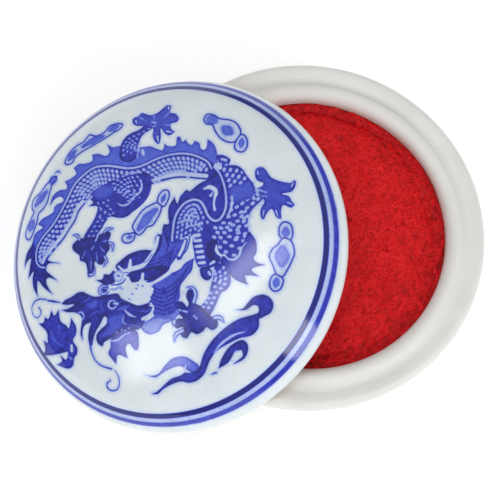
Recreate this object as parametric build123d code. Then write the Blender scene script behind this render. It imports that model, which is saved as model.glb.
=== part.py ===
from build123d import *
import math
import os

# Round porcelain box of red seal paste, opened: the base stands on the table full of paste, and
# the domed lid leans on it, its low edge on the table and the rest of its rim across the base.
# Frame: origin at the centre of the foot ring, on the table. +Z is up and the lid lies towards -X.
# Millimetres and degrees.

# Whole box
body_radius = 36.0
seat_height = 19.55

# Foot ring under the base
foot_radius = 24.0
foot_width = 2.6
foot_recess = 1.5
foot_height = 1.9
foot_edge_radius = 0.5

# Outer wall of the base, one bowl curve that is upright just under the rounded shoulder
upright_height = 0.3
shoulder_edge_radius = 1.3

# Seat for the closed lid, and the soft groove between it and the lip
seat_width = 4.3
seat_slope_width = 2.4
groove_depth = 0.4
groove_edge_radius = 6.0
groove_root_radius = 1.6

# Low raised lip that keeps the closed lid in place: a leaning outer flank and rounded edges
lip_height = 1.0
lip_width = 3.6
lip_flank_tilt = 42.0
lip_outer_round = 1.7
lip_inner_round = 1.9

# Hollow that holds the paste
floor_thickness = 3.2
hollow_corner_radius = 7.0

# Seal paste, pressed into the hollow and left slightly mounded
paste_gap = 0.05
paste_below_lip = 3.1
paste_mound = 1.4
paste_edge_radius = 0.8

# Lid: a short upright wall, a round shoulder and a flatter crown
lid_wall_height = 1.3
lid_wall_blend_radius = 3.0
lid_shoulder_radius = 9.5
lid_shoulder_tilt = 13.2
lid_crown_radius = 87.7
lid_thickness = 3.2
lid_rim_edge_radius = 0.5
lid_play = 0.5
lid_headroom = 0.6

# How the lid leans: its rim rests on the base's shoulder at this bearing, either side of -X
rest_bearing = 61.34
rest_gap = 0.2

# Sizes that follow from these
lip_outer_radius = body_radius - seat_width
lip_inner_radius = lip_outer_radius - lip_width
lip_top = seat_height + lip_height
lip_flank_slope = math.tan(math.radians(lip_flank_tilt))
lip_crest_radius = lip_outer_radius - lip_height * lip_flank_slope
hollow_floor = foot_recess + floor_thickness
lid_inner_radius = lip_outer_radius + lid_play


def turned(half_section):
    """Turn a half section, drawn as radius and height, into a solid round the Z axis."""
    return revolve(Plane.XZ * half_section, Axis.Z)


def make_bowl():
    """The base: foot ring, bowl wall, seat, groove, lip and the hollow for the paste."""
    foot_inner_radius = foot_radius - foot_width
    upright_from = seat_height - shoulder_edge_radius - upright_height
    foot = FilletPolyline(
        (0, foot_recess),
        (foot_inner_radius, foot_recess),
        (foot_inner_radius, 0),
        (foot_radius, 0),
        (foot_radius, foot_height),
        radius=foot_edge_radius,
    )
    wall = EllipticalCenterArc(
        (foot_radius, upright_from),
        body_radius - foot_radius,
        upright_from - foot_height,
        start_angle=270,
        arc_size=90,
    )
    rim = FilletPolyline(
        (body_radius, upright_from),
        (body_radius, seat_height),
        (lip_outer_radius + seat_slope_width, seat_height),
        (lip_outer_radius + groove_depth * lip_flank_slope, seat_height - groove_depth),
        (lip_crest_radius, lip_top),
        (lip_inner_radius, lip_top),
        (lip_inner_radius, hollow_floor),
        (0, hollow_floor),
        radius=[
            shoulder_edge_radius,
            groove_edge_radius,
            groove_root_radius,
            lip_outer_round,
            lip_inner_round,
            hollow_corner_radius,
        ],
    )
    axis = Line((0, hollow_floor), (0, foot_recess))
    return turned(make_face([foot, wall, rim, axis]))


def make_paste():
    """The paste: it follows the hollow's floor, corner and wall, and is mounded on top."""
    paste_radius = lip_inner_radius - paste_gap
    paste_bottom = hollow_floor + paste_gap
    paste_edge = lip_top - paste_below_lip
    paste_top = paste_edge + paste_mound
    under = FilletPolyline(
        (0, paste_bottom),
        (paste_radius, paste_bottom),
        (paste_radius, paste_edge),
        radius=hollow_corner_radius - paste_gap,
    )
    mound = TangentArc((0, paste_top), (paste_radius, paste_edge), tangent=(1, 0))
    axis = Line((0, paste_top), (0, paste_bottom))
    section = make_face([under, mound, axis])
    edge = section.vertices().sort_by(Axis.X)[-2:].sort_by(Axis.Y)[-1]
    return turned(fillet(edge, paste_edge_radius))


def dome(inset):
    """Half section under the lid's dome, drawn in from the outer skin by the inset."""
    tilt = math.radians(lid_shoulder_tilt)
    shoulder_x = body_radius - lid_shoulder_radius * math.cos(tilt)
    shoulder_y = lid_wall_height - lid_shoulder_radius * math.sin(tilt)
    between = lid_crown_radius - lid_shoulder_radius
    crown_y = shoulder_y - math.sqrt(between**2 - shoulder_x**2)
    meeting = math.degrees(math.acos(shoulder_x / between))
    shoulder_arc = lid_shoulder_radius - inset
    crown_arc = lid_crown_radius - inset
    sweep = meeting - lid_shoulder_tilt
    shoulder = CenterArc((shoulder_x, shoulder_y), shoulder_arc, lid_shoulder_tilt, sweep)
    crown = CenterArc((0, crown_y), crown_arc, meeting, 90 - meeting)
    low = shoulder @ 0
    sides = Polyline(crown @ 1, (0, 0), (low.X, 0), low)
    return make_face([shoulder, crown, sides])


def make_lid():
    """The lid with its rim on the XY plane: a domed shell, open below to take the lip."""
    skin = dome(inset=0)
    wall_top = skin.vertices().sort_by(Axis.X)[-2:].sort_by(Axis.Y)[-1]
    skin = fillet(wall_top, lid_wall_blend_radius)
    hollow_height = lip_height + lid_headroom
    mouth = Pos(lid_inner_radius / 2, hollow_height / 2) * Rectangle(lid_inner_radius, hollow_height)
    reach = Pos(lid_inner_radius / 2, 0) * Rectangle(lid_inner_radius, 2 * body_radius)
    section = skin - (dome(inset=lid_thickness) & reach) - mouth
    rim_corners = section.vertices().group_by(Axis.Y)[0]
    return turned(fillet(rim_corners, lid_rim_edge_radius))


def lean(lid):
    """Lay the lid down: low edge just over the table, inner rim edge just over the base's rim."""
    shoulder_ring = body_radius - shoulder_edge_radius
    edge_centre = body_radius - lid_rim_edge_radius
    rest_across = shoulder_ring * math.sin(math.radians(rest_bearing))
    rest_along = edge_centre + math.sqrt(lid_inner_radius**2 - rest_across**2)
    rest_rise = (seat_height - lid_rim_edge_radius) / math.hypot(rest_along, lid_rim_edge_radius)
    angle = math.asin(rest_rise) + math.atan2(lid_rim_edge_radius, rest_along)
    rim_drop = edge_centre * math.sin(angle) - lid_rim_edge_radius * math.cos(angle)
    rim_z = rest_gap + rim_drop + lid_rim_edge_radius

    def rim_x_over(ring_radius, ring_height):
        # Where the inner edge of the rim crosses over a ring of the base, along and across the lean
        along = (ring_height + rest_gap - rim_z) / math.sin(angle)
        across = math.sqrt(lid_inner_radius**2 - along**2)
        return -math.sqrt(ring_radius**2 - across**2) - along * math.cos(angle)

    over_lip = rim_x_over(lip_crest_radius, lip_top)
    over_shoulder = rim_x_over(shoulder_ring, seat_height)
    rim_x = min(over_lip, over_shoulder)
    lean_angle = math.degrees(angle)
    print(f"lid leans {lean_angle:.2f} degrees, rim centre at x {rim_x:.2f}, z {rim_z:.2f}")
    return Pos(rim_x, 0, rim_z) * Rot(0, -lean_angle, 0) * lid


bowl = make_bowl()
seal_paste = make_paste()
lid = lean(make_lid())

os.makedirs("parts", exist_ok=True)
for name, solid in {"bowl": bowl, "seal_paste": seal_paste, "lid": lid}.items():
    export_step(solid, f"parts/{name}.step")
    print(f"{name}: {solid.volume / 1000:.2f} ml")
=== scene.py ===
# %% [markdown]
# A round porcelain box of red seal paste
#
# The real box is two fired porcelain shells and a cake of oily red paste. The base is full of
# paste, and the lid leans on it, painted in cobalt blue under a clear glaze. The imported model
# gives every size and place, so each surface here is laid on it, and nothing is moved or fitted.

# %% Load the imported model
import math
import bpy
import numpy as np
from mathutils import Matrix, Vector, geometry


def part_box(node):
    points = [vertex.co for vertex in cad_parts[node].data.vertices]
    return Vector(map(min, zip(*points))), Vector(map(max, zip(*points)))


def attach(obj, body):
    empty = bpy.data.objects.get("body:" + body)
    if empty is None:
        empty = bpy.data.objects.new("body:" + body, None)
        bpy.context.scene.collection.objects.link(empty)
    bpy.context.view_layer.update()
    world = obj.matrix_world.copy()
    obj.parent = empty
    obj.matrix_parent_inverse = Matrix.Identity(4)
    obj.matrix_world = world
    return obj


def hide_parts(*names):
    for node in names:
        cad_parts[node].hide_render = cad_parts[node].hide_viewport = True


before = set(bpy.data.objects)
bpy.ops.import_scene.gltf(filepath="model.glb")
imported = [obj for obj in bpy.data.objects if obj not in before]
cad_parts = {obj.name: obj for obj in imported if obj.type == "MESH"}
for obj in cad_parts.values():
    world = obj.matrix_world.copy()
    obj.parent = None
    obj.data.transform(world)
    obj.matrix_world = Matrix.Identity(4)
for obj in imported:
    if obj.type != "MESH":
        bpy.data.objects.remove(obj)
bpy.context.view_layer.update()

MM = 0.001
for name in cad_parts:
    low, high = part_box(name)
    print(name, "spans", [round((b - a) / MM, 1) for a, b in zip(low, high)], "mm")

# %% [markdown]
# Where the camera stands
#
# Ellipses fitted to the outlines of the lid, base, paste and painted bands fix the view: nearly
# from above, from a point 450 mm away. A wide lens close by would bend the circles, and a very
# long one would flatten the dome, so the lens comes from the same fit.

# %% Camera
camera_bearing = math.radians(-24.67)
camera_height = math.radians(73.39)
camera_roll = math.radians(15.77)
camera_distance = 450 * MM
frame_pixels = 500
lens_pixels = 2238.3
film_width = 36.0
nearest_seen = 10 * MM
seat_height = 19.55 * MM
seat_in_view = (11.698 * MM, 3.679 * MM)

back = Vector((
    math.sin(camera_bearing) * math.cos(camera_height),
    -math.cos(camera_bearing) * math.cos(camera_height),
    math.sin(camera_height),
))
level = Vector((math.cos(camera_bearing), math.sin(camera_bearing), 0))
upright = back.cross(level)
right = level * math.cos(camera_roll) + upright * math.sin(camera_roll)
up = upright * math.cos(camera_roll) - level * math.sin(camera_roll)
camera_place = Vector((0, 0, seat_height)) + back * camera_distance
camera_place -= right * seat_in_view[0] + up * seat_in_view[1]
turn = Matrix((right, up, back)).transposed()

camera = bpy.data.objects.new("camera", bpy.data.cameras.new("camera"))
camera.matrix_world = Matrix.Translation(camera_place) @ turn.to_4x4()
camera.data.sensor_width = film_width
camera.data.lens = film_width * lens_pixels / frame_pixels
camera.data.clip_start = nearest_seen
bpy.context.scene.collection.objects.link(camera)
bpy.context.scene.camera = camera
bpy.context.scene.view_settings.view_transform = "Standard"
print("camera stands at", [round(x / MM, 1) for x in camera_place], "mm")

# %% [markdown]
# Colours and shader nodes
#
# Colours are written as they look on a screen, and one function turns them to the linear light
# that the renderer works in. One more function adds a shader node with its settings and links.
# An input of the node is a plain value, or the socket or node that feeds it.

# %% Colours
def linear(hex_colour):
    """Turn an sRGB colour such as d7dee2 into linear red, green and blue."""
    channels = [int(hex_colour[i:i + 2], 16) / 255 for i in (0, 2, 4)]
    light = [c / 12.92 if c <= 0.04045 else ((c + 0.055) / 1.055) ** 2.4 for c in channels]
    return light + [1.0]


print("a cobalt blue of 2832b0 is", [round(c, 3) for c in linear("2832b0")], "in linear light")

# %% Nodes
def node(tree, kind, inputs=(), stops=(), **settings):
    """Add a shader node. settings are its own choices, and stops are a ramp's colours."""
    made = tree.nodes.new("ShaderNode" + kind)
    for name, value in settings.items():
        setattr(made, name, value)
    for name, value in dict(inputs).items():
        if isinstance(value, bpy.types.Node):
            value = value.outputs[0]
        if isinstance(value, bpy.types.NodeSocket):
            tree.links.new(value, made.inputs[name])
        else:
            made.inputs[name].default_value = value
    if stops:
        marks = made.color_ramp.elements
        while len(marks) < len(stops):
            marks.new(1.0)
        for mark, (position, colour) in zip(marks, stops):
            mark.position = position
            mark.color = linear(colour)
    return made


def new_material(name):
    """An empty node material, and its node tree."""
    material = bpy.data.materials.new(name)
    material.use_nodes = True
    material.node_tree.nodes.clear()
    print("material", name)
    return material, material.node_tree


print("inputs of a node are set by name or by number, from 0 on")

# %% [markdown]
# The table and the room
#
# The box stands on plain white paper, uncoated and matt, so it mirrors nothing. A weak glow of its
# own keeps it as white as the photo's ground, without more light on the box. The light is soft: a
# pale room, brighter overhead than at the horizon. So the upright walls of the porcelain come out
# a little darker than the paper, and the white box stays apart from it. The lamps come last,
# because their places follow from the finished lid.

# %% Table
table_half = 3.0
table_glow = 0.22
table_mesh = bpy.data.meshes.new("table")
corners = [(x * table_half, y * table_half, 0) for x, y in ((-1, -1), (1, -1), (1, 1), (-1, 1))]
table_mesh.from_pydata(corners, [], [(0, 1, 2, 3)])
table = bpy.data.objects.new("table", table_mesh)
bpy.context.scene.collection.objects.link(table)

paper, tree = new_material("white_paper_sweep")
matte = node(tree, "BsdfPrincipled", {
    "Base Color": linear("fafafa"), "Roughness": 0.9,
    "Emission Color": linear("ffffff"), "Emission Strength": table_glow,
})
node(tree, "OutputMaterial", {"Surface": matte})
table.data.materials.append(paper)
print("table is", 2 * table_half, "m wide")

# %% Room light
horizon_light = 0.4
zenith_light = 0.66
even_above = 0.5
room = bpy.data.worlds.new("pale_room")
room.use_nodes = True
bpy.context.scene.world = room
room_tree = room.node_tree
room_tree.nodes.clear()
facing = node(room_tree, "TexCoord").outputs["Generated"]
height = node(room_tree, "SeparateXYZ", {0: facing}).outputs["Z"]
room_glow = node(room_tree, "MapRange", {
    "Value": height, "From Min": 0.0, "From Max": even_above,
    "To Min": horizon_light, "To Max": zenith_light,
}, interpolation_type="SMOOTHSTEP")
sky = node(room_tree, "Background", {"Color": linear("fdfdff"), "Strength": room_glow})
node(room_tree, "OutputWorld", {"Surface": sky})
print("room light runs from", horizon_light, "at the horizon to", zenith_light, "overhead")

# %% [markdown]
# Painting on a dome without a picture file
#
# The real decoration is cobalt blue laid under the glaze: strokes with a dark rim where the colour
# pooled, a paler middle, and a faint blue bloom round them. A row of flat shapes would look like a
# sticker, so each stroke here is a distance field on a fine sheet of points spread over the lid's
# plan. The strength of the blue at each point comes from how far it lies inside or outside the
# stroke. Places are in millimetres on the lid's plan: x runs up the lean and y across it.

# %% A sheet of points
pitch = 0.11
sheet_radius = 35.3
steps = int(sheet_radius / pitch) + 2
axis_mm = np.arange(-steps, steps + 1) * pitch
sheet_x, sheet_y = np.meshgrid(axis_mm, axis_mm, indexing="ij")
cobalt = np.zeros_like(sheet_x)
print("a sheet of", cobalt.size, "points,", pitch, "mm apart")

# %% Smooth lines
def spline(p, closed, step):
    """Catmull-Rom points through p, about one step apart."""
    if closed:
        p = np.vstack([p[-1], p, p[0], p[1]])
    else:
        p = np.vstack([2 * p[0] - p[1], p, 2 * p[-1] - p[-2]])
    made = []
    for a, b, c, d in zip(p, p[1:], p[2:], p[3:]):
        count = max(1, int(np.hypot(*(c - b)) / step))
        t = np.arange(count)[:, None] / count
        bend = (2 * a - 5 * b + 4 * c - d) * t**2 + (3 * b - a - 3 * c + d) * t**3
        made.append(0.5 * (2 * b + (c - a) * t + bend))
    return np.vstack(made) if closed else np.vstack(made + [p[-2][None]])


def curve(points, closed=False, step=0.22):
    """A smooth line through points. A point with a third entry is a sharp tip."""
    runs, run = [], []
    marks = [tuple(p) for p in points]
    if closed:
        first = next((i for i, p in enumerate(marks) if len(p) > 2), None)
        if first is None:
            return spline(np.array([p[:2] for p in marks], float), True, step)
        marks = marks[first:] + marks[:first + 1]
    for i, p in enumerate(marks):
        run.append(p[:2])
        if len(p) > 2 and 0 < i < len(marks) - 1:
            runs.append(run)
            run = [p[:2]]
    runs.append(run)
    lines = [spline(np.array(r, float), False, step) for r in runs if len(r) > 1]
    last = lines[-1][:-1] if closed else lines[-1]
    return np.concatenate([line[:-1] for line in lines[:-1]] + [last])


def run_along(line):
    """Distance run along a line, at each of its points."""
    return np.concatenate([[0], np.cumsum(np.hypot(*np.diff(line, axis=0).T))])


sample = curve([(0, 0), (1, 0.5), (2, 0)])
print("a bent line of", round(run_along(sample)[-1], 2), "mm takes", len(sample), "points")

# %% One stroke on the sheet
edge_blur = 0.11
pool_width = 0.17
bloom_width = 0.30
bloom_reach = 0.9


def window(points, margin):
    """The part of the sheet round some points."""
    low = np.searchsorted(axis_mm, points.min(0) - margin)
    high = np.searchsorted(axis_mm, points.max(0) + margin)
    return slice(low[0], high[0]), slice(low[1], high[1])


def lay(box, away, strength, pool, bloom):
    """Blend one stroke into the blue. away is the distance outside it, negative within."""
    cover = np.clip(0.5 - away / (2 * edge_blur), 0, 1)
    cover = cover * cover * (3 - 2 * cover)
    tone = strength + pool * np.exp(-((away + pool_width / 2) / pool_width) ** 2)
    under = cobalt[box]
    haze = bloom * strength * np.exp(-(np.maximum(away, 0) / bloom_width) ** 2)
    cobalt[box] = np.where(cover > 0, under * (1 - cover) + tone * cover, under)
    cobalt[box] = np.maximum(cobalt[box], haze * (1 - cover))


def tone_at(x, y):
    """How blue the sheet is at one place."""
    return cobalt[int(round(x / pitch)) + steps, int(round(y / pitch)) + steps]


print("a stroke's edge fades over", 2 * edge_blur, "mm and its bloom over", bloom_width, "mm")

# %% Brush lines and washes
shortest = 1e-9


def beyond(x, y, a, b):
    """Distance from sheet places to the line from a to b, and how far along it is nearest."""
    along = b - a
    t = (x - a[0]) * along[0] + (y - a[1]) * along[1]
    t = np.clip(t / max(along @ along, shortest), 0, 1)
    return np.hypot(x - a[0] - t * along[0], y - a[1] - t * along[1]), t


def brush(points, widths, strength, pool=0.0, bloom=0.22, closed=False):
    """One brush line. widths are spread evenly along it, from its start to its end."""
    line = curve(points, closed)
    if closed:
        line = np.vstack([line, line[:1]])
    run = run_along(line)
    widths = np.atleast_1d(widths)
    half = np.interp(run / run[-1], np.linspace(0, 1, len(widths)), widths) / 2
    box = window(line, half.max() + bloom_reach)
    away = np.full(cobalt[box].shape, bloom_reach)
    for a, b, wide_a, wide_b in zip(line, line[1:], half, half[1:]):
        near = window(np.array([a, b]), max(wide_a, wide_b) + bloom_reach)
        part = tuple(slice(n.start - w.start, n.stop - w.start) for n, w in zip(near, box))
        gap, t = beyond(sheet_x[near], sheet_y[near], a, b)
        away[part] = np.minimum(away[part], gap - wide_a - (wide_b - wide_a) * t)
    lay(box, away, strength, pool, bloom)


def crisp(points, widths, strength):
    """A brush line with no bloom round it. Most are pale lines left open in a dark wash."""
    brush(points, widths, strength, bloom=0)


def wash(points, strength, pool=0.16, bloom=0.22):
    """One filled shape inside a closed outline."""
    line = curve(points, closed=True)
    box = window(line, bloom_reach)
    x, y = sheet_x[box], sheet_y[box]
    away = np.full(x.shape, bloom_reach)
    turns = np.zeros(x.shape, int)
    for a, b in zip(line, np.roll(line, -1, 0)):
        away = np.minimum(away, beyond(x, y, a, b)[0])
        side = (b - a)[0] * (y - a[1]) - (b - a)[1] * (x - a[0])
        turns += ((a[1] <= y) & (b[1] > y) & (side > 0)).astype(int)
        turns -= ((a[1] > y) & (b[1] <= y) & (side < 0)).astype(int)
    lay(box, np.where(turns != 0, -away, away), strength, pool, bloom)


near, _ = beyond(np.array([1.0]), np.array([2.0]), np.array([0.0, 0.0]), np.array([2.0, 0.0]))
print("a place 2 mm beside a line measures", near[0], "mm from it")

# %% [markdown]
# The rim bands and the clouds
#
# Two bands run round the rim: a broad dark one inside and a thin brighter one outside, with a
# little blue run into the glaze between them. Five small clouds fill the ground round the dragon,
# and each is made of one to three rounded pieces. Cobalt has no thickness, so nothing is cut into
# the mesh for them. A band is the simplest stroke: its distance is measured from the axis.

# %% Bands
dark_blue = 0.5
from_axis = np.hypot(sheet_x, sheet_y)
whole_sheet = (slice(None), slice(None))


def ring(radius, width, strength):
    """A band turned on the wheel, with the brush held still against the spinning lid."""
    lay(whole_sheet, abs(from_axis - radius) - width / 2, strength, pool=0.1, bloom=0.1)


def tell(what):
    """Say how much of the sheet is painted so far."""
    area = int((cobalt > dark_blue).sum() * pitch**2)
    print(what, "painted, and", area, "square mm are dark blue so far")


ring(radius=34.05, width=1.0, strength=0.17)
ring(radius=33.3, width=0.84, strength=1.05)
ring(radius=34.76, width=0.66, strength=0.8)
tell("bands")

# %% Clouds by the low edge
cloud_inside = 0.14
cloud_dab = 0.56
cloud_line = 0.92


def cloud(outline, fills, fill_width=0.9):
    """A small cloud: a dark outline, a pale inside and a few mid-blue dabs."""
    wash(outline, cloud_inside, pool=0.1)
    widths = [fill_width * 0.7, fill_width * 1.45, fill_width * 0.7]
    for line in fills:
        brush(line, widths, cloud_dab, pool=0.08, bloom=0.6)
    brush(outline, 0.30, cloud_line, closed=True)


cloud([
    (-29.2, 10.3), (-28.9, 9.2), (-28.3, 8.9), (-27.5, 9.5), (-26.6, 10.8), (-25.9, 12), (-25.3, 13.6),
    (-24, 14.3), (-22.9, 15.4), (-22.4, 16.6), (-21.8, 18), (-21.2, 19.2), (-20.4, 19.4), (-20.2, 20.2),
    (-21.2, 20.4), (-22, 19.8), (-23.2, 19.1), (-24.5, 18.1), (-26.2, 17.4), (-26.9, 16.4), (-26.9, 15.2),
    (-26.5, 14.4), (-27.2, 13.4), (-28.6, 11.6),
], [
    [(-25.9, 15.7), (-24.6, 16.7), (-23, 17.6)], [(-27.9, 11), (-27, 12.4)],
    [(-21.4, 19.6), (-20.9, 19.8)],
], 1.3)
brush([(-20.6, 21.1), (-19.8, 21.3), (-19.1, 20.7)], [0.2, 0.6, 0.2], 0.6)
cloud([
    (-17.9, 23), (-17.7, 22.2), (-16.9, 21.9), (-16, 22.1), (-15.6, 22.8), (-14.2, 23.6), (-11.5, 24.2),
    (-9, 24.8), (-6.5, 25.6), (-4.8, 26.1), (-4.1, 26.9), (-5, 27.5), (-7, 27.5), (-8.2, 26.5),
    (-10.2, 26.2), (-11.8, 27), (-13.2, 25.9), (-15, 25.5), (-16.6, 24.6),
], [
    [(-16.9, 23), (-15.4, 24.4)], [(-13.4, 24.9), (-11, 25.4), (-8.6, 25.6)], [(-7, 26.6), (-5.2, 26.9)],
], 1.1)
tell("clouds by the low edge")

# %% Cloud on the far side
cloud([
    (13.2, 23.2), (13.9, 24.2), (15.2, 23.7), (16.4, 22.6), (18.2, 21.9), (19.4, 21), (20.1, 19.6),
    (20.2, 18.4), (19.6, 17.4), (18.6, 16.8), (17.2, 17.3), (16.1, 18.4), (15.3, 20), (14.8, 21.6),
    (13.7, 22.1),
], [[(17, 20.4), (18.3, 18.9)], [(14.2, 23.2), (15.4, 22.2)]], 1.5)
cloud([
    (18.9, 16.5), (18.8, 15.3), (19.5, 14.5), (20.4, 14.4), (21.1, 15.2), (21.3, 16.6), (20.8, 17.9),
    (20, 18),
], [[(20, 15.6), (20.3, 17)]])
tell("far cloud")

# %% Cloud in the middle
cloud([
    (-3.8, 3.9), (-3.6, 4.8), (-2.2, 6.3), (-0.8, 7.3), (1.2, 7.8), (2.4, 7.8), (2.8, 6.8), (2.2, 5.4),
    (1.2, 4.2), (0.4, 3.5), (-0.8, 3.4), (-2, 2.5), (-3, 2.4),
], [[(-2.6, 3.5), (-1.2, 4.6), (0, 5.6), (1.5, 6.4)]], 1.5)
cloud([
    (2.1, 8), (2.5, 9.2), (3.5, 10), (4.5, 9.8), (4.7, 8.8), (4.2, 7.6), (3.3, 6.7), (2.6, 7.2),
], [[(3, 7.8), (3.8, 9)]], 0.7)
cloud([
    (-3.6, 2.9), (-4.6, 3.1), (-6, 3.2), (-6.5, 2.3), (-5.9, 1.5), (-4.8, 1.3), (-3.9, 1.8),
], [[(-5.3, 2.4), (-4.3, 2.4)]], 0.6)
tell("middle cloud")

# %% Cloud by the high edge
cloud([
    (24.7, -4.4), (24.7, -3), (25.2, -2), (26, -1.6), (26.9, -2.1), (27.2, -3.2), (26.9, -4.8), (26, -5.4),
], [[(26, -3), (25.7, -4.4)]], 1.1)
cloud([
    (26.7, -6), (26.7, -8), (25.8, -9.6), (24.6, -11.2), (23.6, -12.1), (22.6, -11.4), (22.3, -9.6),
    (22, -7.8), (22.9, -6.4), (24, -5.8), (25, -4.8), (26, -5),
], [[(24.7, -6.8), (24, -9.6)]], 2.0)
cloud([
    (22.4, -11.4), (21.4, -12), (20.9, -13.4), (21.4, -14.5), (22.5, -14.5), (23.3, -13.6), (23.6, -12.5),
], [[(22.5, -12.4), (22, -13.6)]], 1.0)
tell("cloud by the high edge")

# %% [markdown]
# Ribbon and flaming pearl
#
# A ribbon trails below the dragon, and a flaming pearl hangs before its jaws. Both are one dark
# wash with the paler lines left open in it, as a loaded brush leaves them. Small shapes side by
# side would show their seams, so the wash comes first and the pale lines are laid over it.

# %% Ribbon
wash([
    (-7.6, -24.5, 0), (-6.2, -25), (-4.6, -24.9), (-3, -23.8), (-1.2, -22.9), (0.4, -22.8), (1.8, -23.2),
    (3, -24.3), (3.8, -25.4), (3, -26.4), (1.6, -25.9), (0.2, -24.6), (-2, -24.6), (-4, -25.1),
    (-5.6, -25.5),
], 0.6, pool=0.3)
wash([
    (-7.3, -28.3, 0), (-6, -28.6), (-4.6, -28), (-2.6, -27.5), (-0.6, -27.4), (1, -28), (2.8, -27.9),
    (4.6, -26.9), (6.2, -24.9), (8, -23.4), (10.4, -22.6), (13, -22), (15.4, -21.9), (17, -20.8),
    (17.5, -19.2, 0), (18.6, -18.9), (19.8, -18.5), (20.6, -17.6), (20.8, -16.4), (20.2, -15.3),
    (19, -14.7), (17.4, -14.9), (16.2, -15.7), (15, -16.6), (13.6, -16.6, 0), (15.4, -17), (17, -16.4),
    (17.9, -16.8), (17.7, -17.9), (16.4, -18.2), (13.8, -18.4), (11.6, -19.1), (9.2, -20.3), (7, -21.8),
    (5.2, -23.6), (4, -25.4), (2.8, -26.2), (1, -25.9), (-0.4, -26.3), (-2.4, -26.5), (-4.2, -27.3),
    (-6, -28.1),
], 0.88)
crisp([(7.4, -23.6), (9.4, -22.2), (12, -21.2), (14.2, -21)], [0.15, 0.5, 0.5, 0.2], 0.2)
crisp([(1.2, -24.8), (0.8, -25.6), (1.8, -26.2)], [0.3, 0.5, 0.2], 0.2)
wash([
    (7.4, -26.7, 0), (8.4, -25.2), (10, -23.6), (11.6, -22.7), (13.4, -22.4), (14.2, -23.4), (13.8, -24.9),
    (12.6, -26), (10.6, -26.4), (12.6, -25.4), (12.7, -24.2), (11.2, -24.6), (9.6, -26),
], 0.92)
crisp([(10.6, -25.4), (11.6, -24.4), (12.5, -24.6), (12.1, -25.5)], [0.2, 0.45, 0.45, 0.2], 0.2)
brush([(5.8, -27.4), (6.8, -27.3)], [0.2, 0.4], 0.8)
tell("ribbon")

# %% Flaming pearl
pearl_size = 2.45


def round_line(x, y, wide, high, start, end):
    """Nine points round a middle, from a start angle to an end angle in radians."""
    return [(x + wide * math.cos(t), y + high * math.sin(t)) for t in np.linspace(start, end, 9)]


wash([
    (-29, -8.6, 0), (-27.8, -8.8), (-27.2, -7.8, 0), (-26.4, -8.4), (-25.3, -7, 0), (-24.8, -8.2),
    (-23.5, -7.4, 0), (-23.6, -9.6), (-22.4, -10.9), (-21.9, -11.6), (-20.9, -9.8, 0), (-20.2, -11.8),
    (-20.6, -13.2), (-21.6, -14.2), (-21, -15.8), (-21.4, -17), (-22.2, -17.5), (-23, -18.9), (-24.6, -19),
    (-26.8, -17.6, 0), (-25.3, -17.3), (-25.4, -16.1, 0), (-24.2, -17.3), (-23.4, -16), (-25.2, -15.8),
    (-27.4, -15.5), (-30.2, -14.7, 0), (-28.9, -14), (-28.7, -12.2, 0), (-27.7, -12.8), (-27.5, -10.8),
], 0.86)
brush(round_line(-25, -12.5, pearl_size, pearl_size, 0, 6), 0.3, 1.0)
crisp([(-26.4, -10.6), (-26, -12.8), (-24.6, -14.4)], [0.15, 0.5, 0.15], 0.62)
crisp([(-24.2, -10.4), (-24.6, -12)], [0.5, 0.2], 0.66)
crisp([(-22.2, -15.1), (-22.4, -16)], 0.65, 0.15)
crisp([(-23.4, -17), (-22.8, -17.6)], 0.3, 0.4)
tell("flaming pearl")

# %% [markdown]
# The dragon's body
#
# The dragon is laid down as a painter does it: first the dark washes of fin, body and thighs, then
# the long pale line of the spine, and then the scales, which are left open in the wash in rows
# beside the spine. So the scales follow from the spine's line, and none is placed by hand.

# %% Tail and back fin
spine = [
    (-25.2, 1.9), (-26.3, 2.4), (-27.1, 3.6), (-27, 5.2), (-26.3, 6.8), (-24.6, 8.4), (-22.9, 9.4),
    (-21.4, 10.5), (-19.8, 12.1), (-18.5, 13.6), (-17.4, 15), (-16.2, 16.6), (-15, 17.6), (-13.5, 18.4),
    (-12, 19), (-10.3, 19.2), (-8, 18.7), (-6, 17.9), (-4, 17), (-2, 16.5), (0, 16.5), (2, 16.9),
    (4, 17.2), (6, 17.2), (8, 16.9), (10, 16.2), (12, 14.9), (13.2, 13.7), (13.8, 12.2),
]
wash([
    (-21.3, 1.6, 0), (-24, 2.4), (-25, 1.4), (-24, 0), (-22.6, -1.6, 0), (-24.6, -0.4), (-25.4, -1),
    (-25, -2.6), (-24.3, -4, 0), (-26.2, -2), (-27.4, -0.2), (-27.9, -1.6), (-28.1, -3.3, 0),
    (-28.8, -1.2), (-28.7, 0.6), (-28.2, 2), (-29.8, 1, 0), (-28.9, 3.4), (-28.4, 4.8), (-29.4, 4.6),
    (-30.4, 3.5, 0), (-30, 5), (-29.2, 6.4), (-28, 7.4), (-27.4, 8.2), (-26.4, 8.8), (-25.4, 5), (-24, 3),
], 0.95)
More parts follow.
